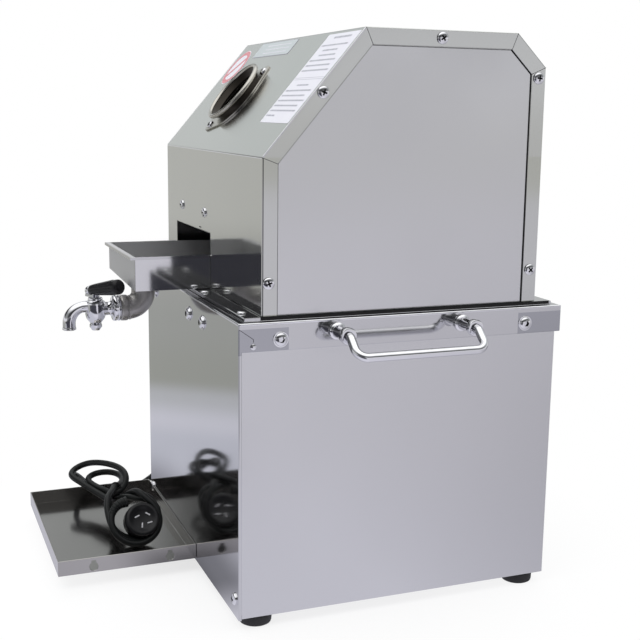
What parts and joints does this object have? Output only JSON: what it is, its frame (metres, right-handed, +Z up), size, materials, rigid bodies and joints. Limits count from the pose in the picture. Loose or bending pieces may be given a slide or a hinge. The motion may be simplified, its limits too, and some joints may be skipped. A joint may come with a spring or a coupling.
{
  "type": "electric sugarcane juicer",
  "caption": "Tabletop electric sugarcane juicer: steel cabinet, sloped-front roller housing with round feed inlet, pull-out juice tray with lever tap, drip tray, side handles, tied mains lead.",
  "frame": {"origin": "on the bench, at the middle of the machine's length and width, the mains lead left out", "axes": "+X to the machine's right side, -Y to its front where the tap is, +Z up"},
  "size_m": [0.5109, 0.532, 0.593],
  "materials": {
    "brushed_steel": "brushed stainless sheet with a fine vertical grain",
    "housing_steel": "satin stainless sheet of the housing's wrap",
    "mirror_steel": "polished stainless sheet",
    "chrome": "bright chrome plating",
    "cast_steel": "bead-blasted cast stainless fitting",
    "machined_steel": "turned and milled steel",
    "alloy_grey": "painted alloy casting",
    "cast_iron": "bare cast iron",
    "bronze": "machined bearing bronze",
    "foot_rubber": "moulded black rubber",
    "belt_rubber": "fabric-faced black rubber",
    "cord_rubber": "smooth black cable sheath",
    "black_plastic": "moulded black plastic"
  },
  "bodies": {
    "machine": {"cabinet_shell": "brushed_steel", "back_panel": "brushed_steel", "side_cover_left": "brushed_steel", "side_cover_right": "brushed_steel", "top_cover": "housing_steel", "cap_plate": "mirror_steel", "base_plate": "mirror_steel", "feed_inlet": "mirror_steel", "outlet_chute": "mirror_steel", "cup_tray": "mirror_steel", "press_plate_left": "machined_steel", "press_plate_right": "machined_steel", "tie_bar_front": "machined_steel", "tie_bar_top": "machined_steel", "tie_bar_rear": "machined_steel", "turn_plate": "machined_steel", "bush_top_left": "bronze", "bush_top_right": "bronze", "bush_feed_left": "bronze", "bush_feed_right": "bronze", "bush_discharge_left": "bronze", "bush_discharge_right": "bronze", "gearbox": "alloy_grey", "motor": "alloy_grey", "motor_cradle": "cast_iron", "v_belt": "belt_rubber", "fan_cowl": "black_plastic", "capacitor_box": "black_plastic", "handle_left": "chrome", "handle_right": "chrome", "handle_post_front_left": "chrome", "handle_post_rear_left": "chrome", "handle_post_front_right": "chrome", "handle_post_rear_right": "chrome", "foot_front_left": "foot_rubber", "foot_front_right": "foot_rubber", "foot_rear_left": "foot_rubber", "foot_rear_right": "foot_rubber", "switch_frame": "black_plastic", "cord_gland": "black_plastic", "power_cord": "cord_rubber", "cord_hank": "cord_rubber", "cord_loop": "cord_rubber", "plug": "cord_rubber"},
    "top_roller_set": {"top_roller": "mirror_steel", "top_gear": "machined_steel"},
    "feed_roller_set": {"feed_roller": "mirror_steel", "feed_gear": "machined_steel"},
    "discharge_roller_set": {"discharge_roller": "mirror_steel", "discharge_gear": "machined_steel"},
    "gearbox_pulley": {"gearbox_pulley": "cast_iron"},
    "motor_pulley": {"motor_pulley": "cast_iron"},
    "juice_tray": {"juice_tray": "mirror_steel", "tap_elbow": "cast_steel", "tap_body": "chrome"},
    "tap_lever": {"tap_lever": "chrome", "tap_grip": "black_plastic"},
    "switch_rocker": {"switch_rocker": "black_plastic"}
  },
  "joints": [
    {"name": "top_roller_spin", "type": "hinge", "parent": "machine", "child": "top_roller_set", "pos_m": [0, 0.091, 0.45713], "axis": [1, 0, 0], "continuous": true},
    {"name": "feed_roller_spin", "type": "hinge", "parent": "machine", "child": "feed_roller_set", "pos_m": [0, 0.048, 0.4], "axis": [1, 0, 0], "continuous": true},
    {"name": "discharge_roller_spin", "type": "hinge", "parent": "machine", "child": "discharge_roller_set", "pos_m": [0, 0.134, 0.4], "axis": [1, 0, 0], "continuous": true},
    {"name": "gearbox_pulley_spin", "type": "hinge", "parent": "machine", "child": "gearbox_pulley", "pos_m": [0.149, 0.091, 0.385], "axis": [1, 0, 0], "continuous": true},
    {"name": "motor_pulley_spin", "type": "hinge", "parent": "machine", "child": "motor_pulley", "pos_m": [0.149, 0.066, 0.12], "axis": [1, 0, 0], "continuous": true},
    {"name": "juice_tray_slide", "type": "slide", "parent": "machine", "child": "juice_tray", "axis": [0, -1, 0], "range_m": [0, 0.25]},
    {"name": "tap_lever_turn", "type": "hinge", "parent": "juice_tray", "child": "tap_lever", "pos_m": [-0.066, -0.2016, 0.303], "axis": [0, 0, 1], "range_deg": [-90, 0]},
    {"name": "switch_rocker_tilt", "type": "hinge", "parent": "machine", "child": "switch_rocker", "pos_m": [-0.1887, -0.029, 0.225], "axis": [0, 1, 0], "range_deg": [-10, 10]}
  ],
  "couplings": [
    {"joint": "feed_roller_spin", "follows": "top_roller_spin", "ratio": -1},
    {"joint": "discharge_roller_spin", "follows": "top_roller_spin", "ratio": -1},
    {"joint": "gearbox_pulley_spin", "follows": "top_roller_spin", "ratio": 20},
    {"joint": "motor_pulley_spin", "follows": "top_roller_spin", "ratio": 39.6}
  ]
}
